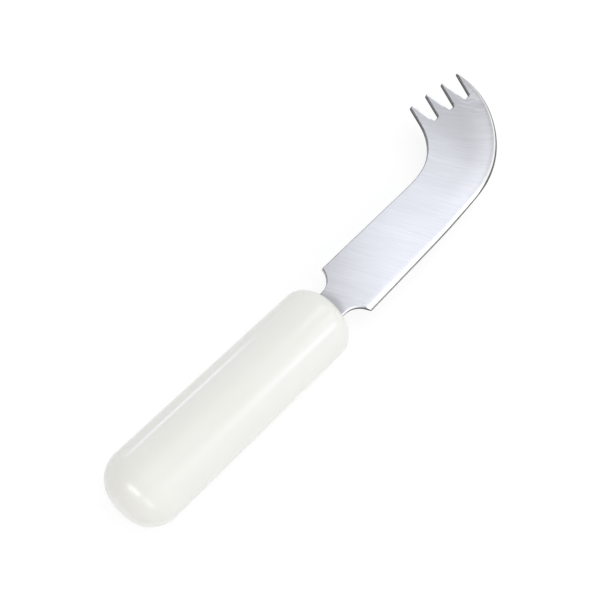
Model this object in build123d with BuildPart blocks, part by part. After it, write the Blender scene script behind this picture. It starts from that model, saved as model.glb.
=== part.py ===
from build123d import *
import os
from math import radians, sin, sqrt

# A one-handed rocker knife that is also a fork.
# A stamped stainless blade sweeps up into a hook, its end is cut into four tines,
# and its tang is held in a thick round plastic handle that is moulded round it.
# X runs along the handle's axis from the butt to the tines, Y points to the spine,
# Z is square to the blade, and the origin is the middle of the handle.
# The cutting edge and the outer side of the last tine are one continuous curve.

# Handle
handle_diameter = 25.4
handle_length = 89.8
butt_edge_radius = 9.8
front_edge_radius = 6.4

# Blade stock and neck
blade_thickness = 1.6
blade_offset = 0.8
neck_width = 10.4
choil_radius = 7.2
choil_reach = 3.9
edge_choil_reach = 4.3

# Spine, from the heel to the first tine
spine_heel_height = 11.8
spine_rise = 1.0
spine_length = 47.1
spine_curve_radius = 42.8
spine_curve_sweep = 12.7
hook_radius = 22.2
hook_sweep = 53.2

# Cutting edge, from the heel to the last tine
edge_heel_height = 9.75
edge_rise = 1.65
edge_straight = 35.0
belly_radius = 389.0
belly_sweep = 4.3
curve_radius = 44.5
curve_sweep = 52.4
tip_radius = 27.9
tip_sweep = 39.0

# Tines: the tips narrow one by one, and the slots grow deeper and wider
tine_count = 4
tine_height = 34.2
tine_tip_width = 1.45
tine_tip_fall = 0.3
last_tine_extra = 0.05
tip_line_bow = 0.3
slot_depth = 10.0
slot_root_fall = 0.82
slot_root_width = 2.75
slot_root_growth = 0.05
slot_lean = 0.45
slot_corner_radius = 0.7
tine_tip_radius = 0.4
last_tip_radius = 0.25

# Grind on both sides of the cutting edge
grind_width_heel = 1.4
grind_width_tip = 0.5
grind_depth = 0.45
hone_width = 0.5
edge_land = 0.1
grind_stations = 9
edge_break = 0.25
overrun = 2.0

# Tang, hidden in the handle
tang_length = 60.0
tang_end_width = 8.0
tang_corner_radius = 2.5
tang_hole_diameter = 4.5
tang_hole_depth = 17.0
tang_hole_spacing = 26.0
tang_hole_count = 2

os.makedirs("parts", exist_ok=True)

handle_radius = handle_diameter / 2
front_x = handle_length / 2
butt_x = -handle_length / 2
half_thickness = blade_thickness / 2

# Neck and choils: the neck leaves the handle straight, then each side turns out to the heel.
neck_top = blade_offset + neck_width / 2
neck_bottom = blade_offset - neck_width / 2
choil_x = front_x + choil_reach
edge_choil_x = front_x + edge_choil_reach
choil_top_y = neck_top + choil_radius
choil_bottom_y = neck_bottom - choil_radius
heel_top = (choil_x + sqrt(choil_radius**2 - (choil_top_y - spine_heel_height) ** 2), spine_heel_height)
heel_bottom = (
    edge_choil_x + sqrt(choil_radius**2 - (edge_heel_height + choil_bottom_y) ** 2),
    -edge_heel_height,
)
tang_x = front_x - tang_length

# Grind lines: height over the blade's middle plane, and distance in from the edge at heel and tip.
# The honed facet runs on past the edge, which it meets half a land above the middle plane.
hone_top = half_thickness - grind_depth
grind_lines = (
    (half_thickness, hone_width + grind_width_heel, hone_width + grind_width_tip),
    (hone_top, hone_width, hone_width),
    (edge_land - hone_top, -hone_width, -hone_width),
)


def edge_path():
    """Draws the cutting edge from the heel corner to the last tine's tip."""
    straight = PolarLine(heel_bottom, edge_straight, edge_rise)
    belly = JernArc(straight @ 1, straight % 1, belly_radius, belly_sweep)
    curve = JernArc(belly @ 1, belly % 1, curve_radius, curve_sweep)
    return straight, belly, curve, JernArc(curve @ 1, curve % 1, tip_radius, tip_sweep)


def edge_offset(heel_inset, tip_inset):
    """Returns points beside the cutting edge, from before the heel to past the tip."""
    with BuildLine(mode=Mode.PRIVATE) as path:
        edge_path()
    line = path.wire()
    points = []
    for station in range(grind_stations + 1):
        share = station / grind_stations
        inset = heel_inset + (tip_inset - heel_inset) * share
        along = line % share
        inward = Vector(-along.Y, along.X)
        points.append(line @ share + inward * inset)
    points[0] -= (line % 0) * overrun / 2
    points[-1] += (line % 1) * overrun
    return points


# Blade: neck, heel, spine, hook and cutting edge in one outline, with the tang behind it
with BuildPart() as blade:
    with BuildSketch(Plane.XY.offset(-half_thickness)) as blade_outline:
        with BuildLine():
            tang_end_top = (tang_x, blade_offset + tang_end_width / 2)
            tang_end_bottom = (tang_x, blade_offset - tang_end_width / 2)
            Polyline((edge_choil_x, neck_bottom), (front_x, neck_bottom), tang_end_bottom, tang_end_top)
            Polyline(tang_end_top, (front_x, neck_top), (choil_x, neck_top))
            RadiusArc((choil_x, neck_top), heel_top, -choil_radius)
            RadiusArc((edge_choil_x, neck_bottom), heel_bottom, choil_radius)
            spine = PolarLine(heel_top, spine_length, spine_rise)
            spine_curve = JernArc(spine @ 1, spine % 1, spine_curve_radius, spine_curve_sweep)
            hook = JernArc(spine_curve @ 1, spine_curve % 1, hook_radius, hook_sweep)
            hook_angle = spine_rise + spine_curve_sweep + hook_sweep
            inner_run = (tine_height - (hook @ 1).Y) / sin(radians(hook_angle))
            inner = PolarLine(hook @ 1, inner_run, hook_angle)
            edges = edge_path()
            tip_middle = (edges[-1] @ 1 + inner @ 1) / 2 + Vector(0, tip_line_bow)
            tip_line = ThreePointArc(edges[-1] @ 1, tip_middle, inner @ 1)
        make_face()
        fillet(blade_outline.vertices().group_by(Axis.X)[0], radius=tang_corner_radius)

        # Slots between the tines: one side that is almost upright, one that leans with the hook
        tip_start = inner @ 1
        tip_run = edges[-1] @ 1 - tip_start
        slot_count = tine_count - 1
        slot_pitch = (tip_run.X - tine_tip_width - last_tine_extra) / slot_count
        slot_top = max(tip_start.Y, tip_start.Y + tip_run.Y) + overrun
        for slot in range(slot_count):
            upright_x = tip_start.X + tine_tip_width + slot * slot_pitch
            next_tip_width = tine_tip_width - tine_tip_fall - slot * tine_tip_fall
            tip_x = upright_x + slot_pitch - next_tip_width
            tip_y = tip_start.Y + tip_run.Y * (tip_x - tip_start.X) / tip_run.X
            root_y = tine_height - slot_depth - slot * slot_root_fall
            root_width = slot_root_width + slot * slot_root_growth
            root_x = upright_x + slot_lean
            over_tips = (slot_top - tip_y) / (tip_y - root_y)
            with BuildSketch(mode=Mode.PRIVATE) as slot_shape:
                with BuildLine():
                    Polyline(
                        (root_x, root_y),
                        (root_x + root_width, root_y),
                        (tip_x + (tip_x - root_x - root_width) * over_tips, slot_top),
                        (upright_x - slot_lean * over_tips, slot_top),
                        close=True,
                    )
                make_face()
                fillet(slot_shape.vertices().group_by(Axis.Y)[0], radius=slot_corner_radius)
            add(slot_shape.sketch, mode=Mode.SUBTRACT)
        tips = blade_outline.vertices().sort_by_distance(tip_line)[: 2 * tine_count].sort_by(Axis.X)
        fillet(tips[:-2], radius=tine_tip_radius)
        fillet(tips[-2:], radius=last_tip_radius)
    extrude(amount=blade_thickness)

    # Keying holes in the tang, which the handle's plastic fills
    for hole in range(tang_hole_count):
        hole_x = front_x - tang_hole_depth - hole * tang_hole_spacing
        with Locations((hole_x, blade_offset, half_thickness)):
            Hole(tang_hole_diameter / 2)

    # Stamped edges are tumbled, so every outline edge outside the handle is broken
    broken = [
        e
        for face in (blade.faces().sort_by(Axis.Z)[0], blade.faces().sort_by(Axis.Z)[-1])
        for e in face.outer_wire().edges()
        if (e @ 0.5).X > front_x
    ]
    chamfer(broken, length=edge_break)

    # Ground bevel and honed edge, cut from both faces by one ruled shape
    for side in (1, -1):
        for height, inset_heel, inset_tip in grind_lines:
            with BuildSketch(Plane.XY.offset(side * height)):
                with BuildLine():
                    inner_line = Spline(edge_offset(inset_heel, inset_tip))
                    outer_line = Spline(edge_offset(-overrun, -overrun))
                    Line(inner_line @ 0, outer_line @ 0)
                    Line(inner_line @ 1, outer_line @ 1)
                make_face()
        loft(ruled=True, mode=Mode.SUBTRACT)
blade.part.label = "blade"
export_step(blade.part, "parts/blade.step")

# Handle: one solid turned shape, moulded round the tang and through its holes
with BuildPart() as handle:
    with BuildSketch(Plane.XY) as profile:
        Rectangle(handle_length, handle_radius, align=(Align.CENTER, Align.MIN))
        front_corner = profile.vertices().group_by(Axis.Y)[-1].sort_by(Axis.X)[-1]
        fillet(front_corner, radius=front_edge_radius)
        butt_corner = profile.vertices().group_by(Axis.Y)[-1].sort_by(Axis.X)[0]
        fillet(butt_corner, radius=butt_edge_radius)
    revolve(axis=Axis.X)
    add(blade.part, mode=Mode.SUBTRACT)
handle.part.label = "handle"
export_step(handle.part, "parts/handle.step")
print("length over all", round(blade.part.bounding_box().max.X - butt_x, 2))
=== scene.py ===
import math

import bpy
from mathutils import Matrix, Vector

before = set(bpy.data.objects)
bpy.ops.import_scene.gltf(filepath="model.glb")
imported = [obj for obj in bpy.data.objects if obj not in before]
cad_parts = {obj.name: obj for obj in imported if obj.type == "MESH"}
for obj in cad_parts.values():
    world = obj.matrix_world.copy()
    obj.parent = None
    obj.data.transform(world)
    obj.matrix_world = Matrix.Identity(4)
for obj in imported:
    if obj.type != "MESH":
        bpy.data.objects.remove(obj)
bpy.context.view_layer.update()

# The part's own frame: X from the butt to the tines, Y to the spine, Z up.
# Lamps and the floor are in metres. The camera, and places inside the materials, are in millimetres.
MM = 0.001

# Handle: its radius, its front end, and there the neck's middle, half width and half thickness
HANDLE_RADIUS = 12.7
FRONT_X = 44.9
NECK_Y = 0.8
NECK_HALF = 5.2
HALF_SHEET = 0.8

# Cutting edge: the heel corner, one straight run, and three tangent arcs with their radius and sweep in degrees
HEEL = (56.16, -9.75)
EDGE_RISE = 1.65
EDGE_STRAIGHT = 35.0
EDGE_ARCS = ((389.0, 4.3), (44.5, 52.4), (27.9, 39.0))
EDGE_LENGTH = EDGE_STRAIGHT + sum(radius * math.radians(sweep) for radius, sweep in EDGE_ARCS)

# Choil by the cutting edge
CHOIL = (49.2, -11.6)
CHOIL_RADIUS = 7.2

# Slots: the first one's upright side at the tines' top, its lean, the pitch, and a point under the last slot
SLOT_SIDE = 132.15
TINE_TOP = 33.8
SLOT_LEAN = 0.048
SLOT_PITCH = 8.41
LAST_SLOT = (152.0, 20.0)

# Ground bevel: how far in from the edge it reaches at the heel and at the tines, and the shoulder there
BEVEL_HEEL = 1.9
BEVEL_TIP = 1.0
SHOULDER = (-0.2, 1.5)

# Honed edge: how high over the middle plane it reaches, how much higher where the edge curves, and its blur
HONE_TOP = 0.35
HONE_RISE = 0.075
HONE_BLUR = 0.02


# ---------------------------------------------------------------- node graphs
class Graph:
    """Short calls for the nodes of a material or world. A value is a number, a tuple or a node's output."""

    def __init__(self, tree):
        self.nodes, self.links = tree.nodes, tree.links

    def put(self, value, socket):
        """Links an output to the socket, or sets the socket's own value."""
        if isinstance(value, bpy.types.NodeSocket):
            self.links.new(value, socket)
        else:
            socket.default_value = value

    def shader(self, kind, *values):
        """A shader of a kind, with values on its first sockets."""
        node = self.nodes.new("ShaderNode" + kind)
        for value, socket in zip(values, node.inputs):
            self.put(value, socket)
        return node.outputs[0]

    def surface(self, values):
        """Puts values on the sockets of the material's own shader, by their names."""
        for name, value in values.items():
            self.put(value, self.nodes["Principled BSDF"].inputs[name])

    def math(self, operation, *values, clamp=False):
        """One operation on one or two values."""
        node = self.nodes.new("ShaderNodeMath")
        node.operation = operation
        node.use_clamp = clamp
        for value, socket in zip(values, node.inputs):
            self.put(value, socket)
        return node.outputs[0]

    def add(self, *values):
        """The sum of the values."""
        total = values[0]
        for value in values[1:]:
            total = self.math("ADD", total, value)
        return total

    def times(self, *values):
        """The product of the values."""
        total = values[0]
        for value in values[1:]:
            total = self.math("MULTIPLY", total, value)
        return total

    def rest(self, value):
        """What a value leaves of one."""
        return self.math("SUBTRACT", 1.0, value)

    def ramp(self, value, low, high, to_low=0.0, to_high=1.0):
        """Maps low..high smoothly to to_low..to_high, and stays level outside."""
        node = self.nodes.new("ShaderNodeMapRange")
        node.interpolation_type = "SMOOTHSTEP"
        names = ("Value", "From Min", "From Max", "To Min", "To Max")
        for name, item in zip(names, (value, low, high, to_low, to_high)):
            self.put(item, node.inputs[name])
        return node.outputs["Result"]

    def fade(self, value, low, high):
        """One up to low, falling smoothly to nothing at high."""
        return self.ramp(value, low, high, 1.0, 0.0)

    def split(self, vector):
        """The three values of a vector."""
        node = self.nodes.new("ShaderNodeSeparateXYZ")
        self.links.new(vector, node.inputs[0])
        return node.outputs[0], node.outputs[1], node.outputs[2]

    def vector(self, x, y, z):
        """A vector of three values."""
        node = self.nodes.new("ShaderNodeCombineXYZ")
        for value, socket in zip((x, y, z), node.inputs):
            self.put(value, socket)
        return node.outputs[0]

    def place(self):
        """The point's X, Y and Z in millimetres."""
        coord = self.nodes.new("ShaderNodeTexCoord")
        return self.split(self.scale_colour(coord.outputs["Object"], 1 / MM))

    def distance(self, x, y, centre):
        """How far the point is from a centre, seen from above."""
        away = (self.math("POWER", self.add(value, -middle), 2.0) for value, middle in zip((x, y), centre))
        return self.math("SQRT", self.add(*away))

    def noise(self, place, cells, detail, roughness=0.5):
        """Noise of 0 to 1, with the given number of cells to the millimetre along each of the three ways."""
        scaled = self.nodes.new("ShaderNodeVectorMath")
        scaled.operation = "MULTIPLY"
        self.put(self.vector(*place), scaled.inputs[0])
        self.put(cells, scaled.inputs[1])
        node = self.nodes.new("ShaderNodeTexNoise")
        self.put(scaled.outputs[0], node.inputs["Vector"])
        node.inputs["Scale"].default_value = 1.0
        node.inputs["Detail"].default_value = detail
        node.inputs["Roughness"].default_value = roughness
        return node.outputs["Fac"]

    def swing(self, noise, strength):
        """Noise that swings about nothing, times a strength."""
        return self.times(self.add(noise, -0.5), strength)

    def mix(self, share, first, second):
        """A colour between two colours."""
        node = self.nodes.new("ShaderNodeMix")
        node.data_type = "RGBA"
        self.put(share, node.inputs["Factor"])
        self.put(first, node.inputs[6])
        self.put(second, node.inputs[7])
        return node.outputs[2]

    def scale_colour(self, colour, value):
        """A colour or vector times a value."""
        node = self.nodes.new("ShaderNodeVectorMath")
        node.operation = "SCALE"
        self.put(colour, node.inputs[0])
        self.put(value, node.inputs["Scale"])
        return node.outputs[0]

    def blend(self, share, first, second):
        """A value between two values."""
        node = self.nodes.new("ShaderNodeMix")
        self.put(share, node.inputs["Factor"])
        self.put(first, node.inputs[2])
        self.put(second, node.inputs[3])
        return node.outputs[0]

    def bump(self, height, distance):
        """Raises the surface by a height of 0 to 1 times the distance in metres."""
        node = self.nodes.new("ShaderNodeBump")
        node.inputs["Strength"].default_value = 1.0
        node.inputs["Distance"].default_value = distance
        self.links.new(height, node.inputs["Height"])
        return node.outputs["Normal"]


def new_material(name):
    """A new material, and the graph of its nodes."""
    material = bpy.data.materials.new(name)
    material.use_nodes = True
    return material, Graph(material.node_tree)


def seen_rays(g):
    """One for rays that show the background itself: camera, glossy and transmission."""
    rays = g.nodes.new("ShaderNodeLightPath").outputs
    mirrored = g.add(rays["Is Camera Ray"], rays["Is Glossy Ray"])
    return g.math("ADD", mirrored, rays["Is Transmission Ray"], clamp=True)


# ---------------------------------------------------------------- camera
CAMERA_PLACE = (-97.94, -60.55, 282.04)
CAMERA_RIGHT = (0.6617, -0.73527, 0.14676)
CAMERA_UP = (0.61125, 0.64237, 0.46232)
CAMERA_BACK = (-0.4342, -0.21621, 0.87449)
LENS = 60
SENSOR_WIDTH = 36
CLIP = (0.01, 20)


def make_camera():
    """The photograph's view, from above the butt's side of the handle."""
    data = bpy.data.cameras.new("camera")
    data.lens = LENS
    data.sensor_width = SENSOR_WIDTH
    data.clip_start, data.clip_end = CLIP
    camera = bpy.data.objects.new("camera", data)
    turn = Matrix((CAMERA_RIGHT, CAMERA_UP, CAMERA_BACK)).transposed().to_4x4()
    camera.matrix_world = Matrix.Translation(Vector(CAMERA_PLACE) * MM) @ turn
    bpy.context.scene.collection.objects.link(camera)
    bpy.context.scene.camera = camera


# ---------------------------------------------------------------- light
ALONG_X = (1, 0, 0)
ALONG_Y = (0, 1, 0)
DOWN = None
MIDDLE = (0, 0, 0)
BLADE = (0.1, 0, 0)
BUTT = (-0.04, 0, 0)
COOL = (0.96, 0.98, 1.0)
BLUISH = (0.73, 0.81, 1.0)
OFF_WHITE = (0.98, 0.98, 1.0)
WHITE = (1, 1, 1)

# Which rays a lamp is seen by: glossy, diffuse
ALL_RAYS = (True, True)
GLOSSY = (True, False)
DIFFUSE = (False, True)

# Name, place, length and width, radiance, colour, way of the length, target, rays.
# A lamp whose target is DOWN shines straight down.
LAMPS = (
    ("blade_softbox", (0.405, 0.075, 0.5), (0.16, 0.19), 3.07, (0.84, 0.915, 1.0), ALONG_X, DOWN, ALL_RAYS),
    ("heel_softbox", (0.295, 0.045, 0.5), (0.07, 0.13), 2.6, (0.93, 0.965, 1.0), ALONG_X, DOWN, ALL_RAYS),
    ("tine_softbox", (0.53, 0.045, 0.5), (0.1, 0.13), 0.4, (1.0, 0.95, 0.93), ALONG_X, DOWN, ALL_RAYS),
    ("bevel_softbox", (0.3175, -0.275, 0.5), (0.115, 0.17), 1.41, COOL, ALONG_X, DOWN, ALL_RAYS),
    ("bevel_softbox_right", (0.51, -0.255, 0.5), (0.32, 0.16), 1.25, OFF_WHITE, ALONG_X, DOWN, ALL_RAYS),
    ("bevel_softbox_curve", (0.66, -0.41, 0.5), (0.26, 0.2), 1.35, OFF_WHITE, ALONG_X, DOWN, GLOSSY),
    ("strip_butt", (0.245, -0.61, 0.5), (0.17, 0.34), 0.94, (0.94, 0.97, 1.0), ALONG_X, BLADE, ALL_RAYS),
    ("strip_front", (0.415, -0.57, 0.5), (0.17, 0.2), 3.5, BLUISH, ALONG_X, BLADE, ALL_RAYS),
    ("strip_front_low", (0.415, -0.72, 0.5), (0.17, 0.08), 3.8, BLUISH, ALONG_X, BLADE, ALL_RAYS),
    ("low_strip", (0.125, 0.5, 0.014), (0.15, 0.052), 5.3, (0.72, 0.8, 1.0), ALONG_X, MIDDLE, ALL_RAYS),
    ("low_strip_front", (0.25, 0.5, 0.014), (0.1, 0.052), 0.65, (0.97, 0.98, 1.0), ALONG_X, MIDDLE, ALL_RAYS),
    ("butt_window", (-0.689, 0.041, 0.387), (0.45, 0.19), 5.2, (0.93, 0.97, 1.0), ALONG_Y, BUTT, GLOSSY),
    ("butt_window_low", (-0.557, -0.511, 0.214), (0.36, 0.12), 3.9, COOL, (0.323, -0.658, -0.68), BUTT, GLOSSY),
    ("fill_top", (0, 0, 1.4), (0.8, 0.8), 2.36, WHITE, ALONG_X, MIDDLE, DIFFUSE),
    ("fill_right", (0.05, -1.1, 0.9), (0.8, 0.8), 0.95, WHITE, ALONG_X, MIDDLE, DIFFUSE),
    ("fill_butt", (-1.2, 0, 0.6), (0.8, 0.8), 0.74, WHITE, ALONG_Y, MIDDLE, DIFFUSE),
    ("fill_butt_right", (-0.8, -0.8, 0.5), (0.8, 0.8), 0.58, WHITE, ALONG_Y, MIDDLE, DIFFUSE),
)


def area_light(name, place, size, radiance, colour, along, target, rays):
    """A softbox of the given radiance, turned to the target, with its length along the given way."""
    data = bpy.data.lights.new(name, "AREA")
    data.shape = "RECTANGLE"
    data.size, data.size_y = size
    data.energy = radiance * math.pi * data.size * data.size_y
    data.color = colour
    lamp = bpy.data.objects.new(name, data)
    place = Vector(place)
    target = Vector((place.x, place.y, 0)) if target is DOWN else Vector(target)
    back = (place - target).normalized()
    side = Vector(along) - back * Vector(along).dot(back)
    side.normalize()
    turn = Matrix((side, back.cross(side), back)).transposed().to_4x4()
    lamp.matrix_world = Matrix.Translation(place) @ turn
    lamp.visible_camera = False
    lamp.visible_glossy, lamp.visible_diffuse = rays
    bpy.context.scene.collection.objects.link(lamp)


# The room's own light, how bright its ceiling is in mirrors, and the heights between which it falls to that
BACKGROUND = (1, 1, 1, 1)
ROOM_COLOUR = (0.98, 0.99, 1.0, 1)
ROOM_LIGHT = 0.52
CEILING = 0.40
CEILING_HEIGHTS = (0.35, 0.85)

# The floor: the light it sends back to the object, and the grey and the glow with which it is seen
FLOOR_Z = -HANDLE_RADIUS * MM
FLOOR_HALF = 3.0
FLOOR_BOUNCE = 0.95
FLOOR_GREY = 0.2
FLOOR_GLOW = 0.83


def make_world():
    """A white room whose ceiling is greyer in mirrors, and whose own light on the object is dimmer."""
    world = bpy.data.worlds.new("studio")
    world.use_nodes = True
    g = Graph(world.node_tree)
    g.nodes.clear()
    up = g.split(g.nodes.new("ShaderNodeTexCoord").outputs["Generated"])[2]
    shown = g.shader("Background", BACKGROUND, g.ramp(up, *CEILING_HEIGHTS, 1.0, CEILING))
    light = g.shader("Background", ROOM_COLOUR, ROOM_LIGHT)
    out = g.nodes.new("ShaderNodeOutputWorld")
    g.put(g.shader("MixShader", seen_rays(g), light, shown), out.inputs[0])
    bpy.context.scene.world = world


def make_floor():
    """A white floor that keeps a soft shadow, see-through from below so that the underside can be looked at."""
    quarters = ((-1, -1), (1, -1), (1, 1), (-1, 1))
    corners = [(x * FLOOR_HALF, y * FLOOR_HALF, FLOOR_Z) for x, y in quarters]
    mesh = bpy.data.meshes.new("floor")
    mesh.from_pydata(corners, [], [(0, 1, 2, 3)])
    floor = bpy.data.objects.new("floor", mesh)
    bpy.context.scene.collection.objects.link(floor)
    material, g = new_material("floor")
    g.nodes.clear()
    seen = seen_rays(g)
    diffuse = g.shader("BsdfDiffuse", g.blend(seen, FLOOR_BOUNCE, FLOOR_GREY))
    glow = g.shader("Emission", BACKGROUND, g.times(seen, FLOOR_GLOW))
    from_below = g.nodes.new("ShaderNodeNewGeometry").outputs["Backfacing"]
    out = g.nodes.new("ShaderNodeOutputMaterial")
    both = g.shader("AddShader", diffuse, glow)
    g.put(g.shader("MixShader", from_below, both, g.shader("BsdfTransparent")), out.inputs[0])
    mesh.materials.append(material)


# ---------------------------------------------------------------- handle
PLASTIC_DARK = (0.870, 0.858, 0.798, 1)
PLASTIC_PALE = (0.898, 0.884, 0.834, 1)
PLASTIC_SPECK = (0.70, 0.68, 0.60, 1)
PLASTIC_NECK_DARK = (0.42, 0.40, 0.36, 1)
PLASTIC_ROUGHNESS = 0.17
PLASTIC_IOR = 1.5

# Patterns: cells to the millimetre, detail and roughness. A flat pattern is a slice of the noise at a height.
CLOUD = (0.05, 0.09, 0.09), 3.0, 0.55
SPECK = (1.1, 1.1, 1.1), 2.0, 0.6
PEEL = (1.3, 1.3, 1.3), 2.0, 0.45
LONG_LINES = (0.11, 5.0, 1.0), 1.0
LONG_SLICE = 3.0
CROSS_LINES = (4.0, 0.13, 1.0), 1.0
CROSS_SLICE = 11.0

# How far from the middle of the handle use has made it duller
USED = (20.0, 43.0)

# How deep a relief of one is on either material, in metres
RELIEF = 0.000008


def handle_material():
    """Glossy off-white moulded plastic: faint clouding, a fine orange peel and hairline scratches from use."""
    material, g = new_material("handle_plastic")
    x, y, z = g.place()
    round_way = g.times(g.math("ARCTAN2", y, z), HANDLE_RADIUS)
    cloud, speck, peel = (g.noise((x, y, z), *pattern) for pattern in (CLOUD, SPECK, PEEL))
    long_lines = g.noise((x, round_way, LONG_SLICE), *LONG_LINES)
    cross_lines = g.noise((x, round_way, CROSS_SLICE), *CROSS_LINES)
    scratches = g.add(g.ramp(long_lines, 0.72, 0.82), g.ramp(cross_lines, 0.74, 0.84))
    used = g.ramp(g.math("ABSOLUTE", x), *USED)

    # Darker and rougher on the front end, close round the neck
    near_x = g.ramp(x, FRONT_X - 0.8, FRONT_X - 0.1)
    near_y = g.fade(g.math("ABSOLUTE", g.add(y, -NECK_Y)), NECK_HALF + 0.2, NECK_HALF + 0.9)
    near_z = g.fade(g.math("ABSOLUTE", z), HALF_SHEET, HALF_SHEET + 0.7)
    neck_darkening = g.times(near_x, near_y, near_z)

    colour = g.mix(cloud, PLASTIC_DARK, PLASTIC_PALE)
    colour = g.mix(g.times(g.ramp(speck, 0.62, 0.75), 0.10), colour, PLASTIC_SPECK)
    colour = g.mix(g.times(neck_darkening, 0.35), colour, PLASTIC_NECK_DARK)
    rough = g.add(
        PLASTIC_ROUGHNESS,
        g.times(cloud, 0.06),
        g.times(scratches, 0.08),
        g.times(used, 0.03),
        g.times(neck_darkening, 0.2),
    )
    height = g.add(g.times(peel, 0.7), g.times(cloud, 2.0), g.times(scratches, -0.35))
    g.surface({"Base Color": colour, "Roughness": rough, "IOR": PLASTIC_IOR, "Normal": g.bump(height, RELIEF)})
    return material


# ---------------------------------------------------------------- blade
FLAT_STEEL = (0.535, 0.521, 0.534)
# Painted highlight on the rims of the choil and the tines
RIM_HIGHLIGHT = (0.95, 0.952, 0.96, 1)
BEVEL_STEEL = (0.900, 0.902, 0.908)
# The honed edge's dark colour is painted shade, for the surroundings it mirrors
HONE_SHADE = (0.192, 0.182, 0.165)
# Broken edges: painted shade, and a painted highlight on those facing the cutting edge or the tines
BROKEN_SHADE = (0.10, 0.102, 0.108, 1)
BROKEN_HIGHLIGHT = (0.92, 0.92, 0.93, 1)
# Walls: dark partly as duller sheared metal and partly as painted shade
WALL_STEEL = (0.085, 0.086, 0.090)

# How far up a face's normal points, where the walls end, the broken edges end and the flats begin
LYING = (0.50, 0.55)
STEEP = (0.716, 0.73)
FLAT = (0.978, 0.988)
BROKEN_HEIGHT = (0.58, 0.6)

# Stretches along X over which something sets in or ends
HEEL_END = (60.0, 70.0)
CURVE_START = (119.0, 128.0)
CURVE_END = (141.0, 149.0)
HOOK_START = (124.0, 134.0)
LAST_TINE = (142.0, 150.0)

# Stretches along Y for the painted highlights on the tines' rims and for the painted shade at the feet of their
# lit broken edges.
# Both keep clear of the cutting edge.
RIM_START = (25.2, 26.6)
FOOT_START = (24.6, 25.4)
FOOT_END = (28.6, 30.2)
CLEAR_OF_EDGE = (1.0, 1.6)

# Brushing: where it bends round to the tines, and the way square to its lines
TURN = (106.0, 150.0)
ACROSS = (0.888, 0.46)

# The grain that stretches the reflections, before and after the bend
GRAIN_BEFORE = (0.87, 0.49)
GRAIN_AFTER = (0.69, 0.72)

# Patterns, as on the handle. The first five follow the brushing: along its lines, across them and up.
FINE = (0.16, 5.0, 9.0), 2.0, 0.6
MEDIUM = (0.06, 1.25, 9.0), 2.0, 0.55
BROAD = (0.03, 0.24, 9.0), 1.0
WAVE = (0.14, 0.85, 9.0), 1.0
HAIR = (0.09, 9.0, 9.0), 0.0
SMUDGE = (0.05, 0.07, 9.0), 3.0, 0.6
WANDER = (0.07, 0.07, 3.0), 2.0
WAVER = (0.22, 0.3, 1.0), 1.0
WAVER_SLICE = 5.0
OUTLINE = (3.6, 3.6, 0.5), 2.0, 0.6

# The ground edge's patterns follow it: along it and in from it
GROUND = (5.0, 0.8, 1.0), 2.0, 0.6
NICKS = (0.35, 1.0, 1.0), 2.0
NICKS_SLICE = 4.0


def edge_place(g, x, y):
    """How far the point is inside the cutting edge, and how far along it."""
    at = Vector(HEEL)
    way = math.radians(EDGE_RISE)
    along = Vector((math.cos(way), math.sin(way)))
    inward = Vector((-along.y, along.x))

    def reach(direction):
        return g.add(g.times(x, direction.x), g.times(y, direction.y), -at.dot(direction))

    inset, run = reach(inward), reach(along)
    at = at + along * EDGE_STRAIGHT
    done = EDGE_STRAIGHT
    for radius, sweep in EDGE_ARCS:
        ahead, off = reach(along), g.add(radius, g.times(reach(inward), -1.0))
        past = g.math("GREATER_THAN", ahead, 0.0)
        out = g.math("SQRT", g.add(g.times(ahead, ahead), g.times(off, off)))
        inset = g.blend(past, inset, g.add(radius, g.times(out, -1.0)))
        run = g.blend(past, run, g.add(done, g.times(g.math("ARCTAN2", ahead, off), radius)))
        centre = at + inward * radius
        way += math.radians(sweep)
        along = Vector((math.cos(way), math.sin(way)))
        inward = Vector((-along.y, along.x))
        at = centre - inward * radius
        done += radius * math.radians(sweep)
    return inset, run


def brushed_place(g, x, y, z, from_slot):
    """Where the point is in the brushing: along its lines, across them and up.

    The lines lean some sixty degrees from the blade's length, bend round towards the tines, and waver
    near the last slot.
    """
    bend = g.ramp(x, *TURN, 0.0, 24.0)
    wander = g.noise((x, y, z), *WANDER)
    waver = g.times(g.fade(from_slot, 3.0, 10.0), g.noise((x, y, WAVER_SLICE), *WAVER))
    across = g.add(
        g.times(x, ACROSS[0]),
        g.times(y, ACROSS[1]),
        g.times(bend, y, 0.029),
        g.times(wander, 1.2),
        g.times(waver, 6.0),
    )
    along = g.add(g.times(x, ACROSS[1]), g.times(y, -ACROSS[0]))
    return along, across, z


def rim_highlights(g, x, y, inset):
    """Painted highlights on the rims: along the choil by the cutting edge, and along the side of each tine that
    faces the edge.
    """
    below = g.add(y, -CHOIL[1] - CHOIL_RADIUS)
    off_choil = g.add(g.distance(x, y, CHOIL), -CHOIL_RADIUS)
    off_choil = g.blend(g.math("GREATER_THAN", x, CHOIL[0]), below, off_choil)
    choil_rim = g.times(g.fade(off_choil, 0.3, 0.7), g.fade(x, 51.5, 54.5))
    slot_side = g.add(SLOT_SIDE + SLOT_LEAN * TINE_TOP, g.times(y, -SLOT_LEAN), g.times(x, -1.0))
    off_slot = g.math("FLOORED_MODULO", slot_side, SLOT_PITCH)
    tine_rim = g.times(g.fade(off_slot, 0.3, 1.15), g.ramp(y, *RIM_START), g.ramp(inset, *CLEAR_OF_EDGE))
    return g.math("MAXIMUM", choil_rim, tine_rim)


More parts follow.
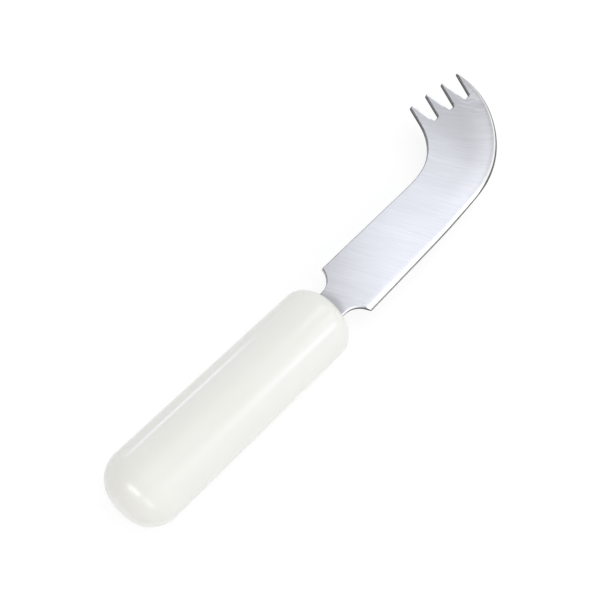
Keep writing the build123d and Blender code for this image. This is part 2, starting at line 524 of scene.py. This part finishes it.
def blade_material():
    """Stamped stainless steel: brushed flats, ground bevel, a honed edge painted dark with shade, broken edges
    and sheared walls, and painted highlights and reflections.
    """
    material, g = new_material("blade_steel")
    x, y, z = g.place()
    height_now = g.math("ABSOLUTE", z)
    facing_x, facing_y, facing_z = g.split(g.nodes.new("ShaderNodeNewGeometry").outputs["True Normal"])
    level = g.math("ABSOLUTE", facing_z)
    from_slot = g.distance(x, y, LAST_SLOT)

    # Which surface the point is on, by how far it leans and how far it is from the cutting edge
    inset, run = edge_place(g, x, y)
    share = g.math("MULTIPLY", run, 1.0 / EDGE_LENGTH, clamp=True)
    past_bevel = g.add(inset, g.times(g.blend(share, BEVEL_HEEL, BEVEL_TIP), -1.0))
    shoulder = g.fade(past_bevel, *SHOULDER)
    lying = g.ramp(level, *LYING)
    flat = g.ramp(level, *FLAT)
    curved = g.times(g.ramp(x, *CURVE_START), g.fade(x, *CURVE_END))
    hone_height = g.add(height_now, g.times(curved, -HONE_RISE))
    hone = g.times(lying, g.rest(flat), g.fade(hone_height, HONE_TOP - HONE_BLUR, HONE_TOP + HONE_BLUR))
    broken = g.times(lying, g.fade(level, *STEEP), g.ramp(height_now, *BROKEN_HEIGHT))
    wall = g.rest(lying)

    # Grinding lines on the bevel and hone, square to the cutting edge, and brushing on the flats
    ground = g.noise((run, inset, 0.0), *GROUND)
    nicks = g.noise((run, 0.0, NICKS_SLICE), *NICKS)
    lines = brushed_place(g, x, y, z, from_slot)
    fine, medium, broad, wave = (g.noise(lines, *pattern) for pattern in (FINE, MEDIUM, BROAD, WAVE))
    hair = g.ramp(g.noise(lines, *HAIR), 0.74, 0.84)
    smudge = g.noise((x, y, z), *SMUDGE)

    # Sheared walls: a burnished band by the upper face, torn metal with upright lines below it. Their dark
    # colour is partly the duller sheared metal and partly painted shade, lighter towards the bottom.
    outline = g.noise((x, y, z), *OUTLINE)
    torn = g.fade(z, -0.7, 0.4)
    # Painted light on the spine-side wall by the heel
    heel_wall_painted_light = g.times(g.ramp(y, 4.0, 6.0), g.fade(x, *HEEL_END))

    # Flats: streaks and smudges, with painted light by the cutting edge and along the bevel's shoulder, painted
    # shade in the hook, painted reflections of the wavy metal by the last slot, and painted shade round the
    # neck where the blade meets the handle
    flat_value = g.add(
        1.0,
        g.swing(fine, 0.11),
        g.swing(medium, 0.26),
        g.swing(broad, 0.09),
        g.times(hair, 0.05),
        g.swing(smudge, 0.03),
        # Painted highlight along the bevel's shoulder
        g.times(shoulder, shoulder, g.ramp(run, 50.0, 90.0, 0.12, 0.04)),
        # Painted reflections of the wavy metal by the last slot
        g.times(g.fade(from_slot, 3.0, 8.5), g.swing(wave, 0.85)),
    )
    # Painted light on the flat by the cutting edge
    edge_painted_light = g.times(
        g.fade(inset, 2.0, 10.0),
        g.ramp(x, 96.0, 122.0, 0.0, 0.19),
        g.ramp(x, *CURVE_END, 1.0, 0.45),
    )
    # Painted shade on the flat in the hook
    hook_painted_shade = g.times(g.ramp(inset, 7.0, 13.0), g.ramp(x, *HOOK_START, 0.0, -0.085))
    # Painted shade on the flat where the blade meets the handle, round the neck
    off_middle = g.math("POWER", g.add(y, -1.0), 2.0)
    neck_painted_shade = g.fade(g.add(x, g.times(off_middle, 0.07)), FRONT_X + 4.2, FRONT_X + 7.6)
    flat_value = g.times(flat_value, g.add(1.0, edge_painted_light, hook_painted_shade), g.add(1.0, g.times(neck_painted_shade, -0.3)))
    # The rims' painted highlights over the flats
    flat_colour = g.mix(rim_highlights(g, x, y, inset), g.scale_colour(FLAT_STEEL, flat_value), RIM_HIGHLIGHT)

    # Bevel, and the hone, whose dark colour is painted shade for the surroundings it mirrors
    bevel_colour = g.scale_colour(BEVEL_STEEL, g.add(0.97, g.times(ground, 0.06)))
    hone_share = g.add(1.0, g.times(curved, -0.3), g.ramp(x, *LAST_TINE, 0.0, -0.6))
    hone_shade_colour = g.scale_colour(HONE_SHADE, g.times(g.add(0.75, g.times(nicks, 0.5)), hone_share))

    # Broken edges: a painted highlight where they face the cutting edge or the tines, and painted shade
    # elsewhere and at the tines' feet
    to_tines = g.ramp(facing_x, 0.3, 0.6)
    tine_foot = g.times(to_tines, g.ramp(y, *FOOT_START), g.fade(y, *FOOT_END), g.ramp(inset, *CLEAR_OF_EDGE))
    broken_lit = g.times(g.math("MAXIMUM", g.fade(facing_y, -0.6, -0.3), to_tines), g.rest(tine_foot))
    broken_value = g.add(0.85, g.times(outline, 0.3))
    broken_colour = g.scale_colour(g.mix(broken_lit, BROKEN_SHADE, BROKEN_HIGHLIGHT), broken_value)
    wall_value = g.add(0.35, g.times(outline, 0.5), g.times(torn, 1.1))
    wall_value = g.times(wall_value, g.add(1.0, g.times(heel_wall_painted_light, 4.5)))

    colour = g.mix(flat, bevel_colour, flat_colour)
    colour = g.mix(hone, colour, hone_shade_colour)
    colour = g.mix(broken, colour, broken_colour)
    colour = g.mix(wall, colour, g.scale_colour(WALL_STEEL, wall_value))

    flat_rough = g.add(0.27, g.times(medium, 0.05), g.times(smudge, 0.03), g.times(hair, -0.04))
    rough = g.blend(flat, g.add(0.19, g.times(ground, 0.06)), flat_rough)
    rough = g.blend(hone, rough, 0.3)
    rough = g.blend(wall, rough, g.blend(torn, 0.34, 0.5))

    lean = g.ramp(x, *TURN)
    grain = [g.blend(lean, before, after) for before, after in zip(GRAIN_BEFORE, GRAIN_AFTER)]

    brushed = g.ramp(past_bevel, 0.1, 0.9)
    relief = g.add(
        g.times(brushed, g.add(g.times(fine, 0.35), g.times(medium, 0.9), g.times(broad, 1.6))),
        g.times(shoulder, -3.2),
        g.times(ground, g.rest(flat), lying, 0.15),
        g.times(outline, wall, 2.5),
    )
    g.surface({
        "Base Color": colour,
        "Metallic": 1.0,
        "Roughness": rough,
        "Anisotropic": 0.6,
        "Tangent": g.vector(*grain, 0.0),
        "Normal": g.bump(relief, RELIEF),
    })
    return material


make_camera()
make_world()
for lamp in LAMPS:
    area_light(*lamp)
make_floor()
for node, material in (("handle", handle_material()), ("blade", blade_material())):
    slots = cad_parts[node].data.materials
    slots.clear()
    slots.append(material)

bpy.context.scene.view_settings.view_transform = "Standard"
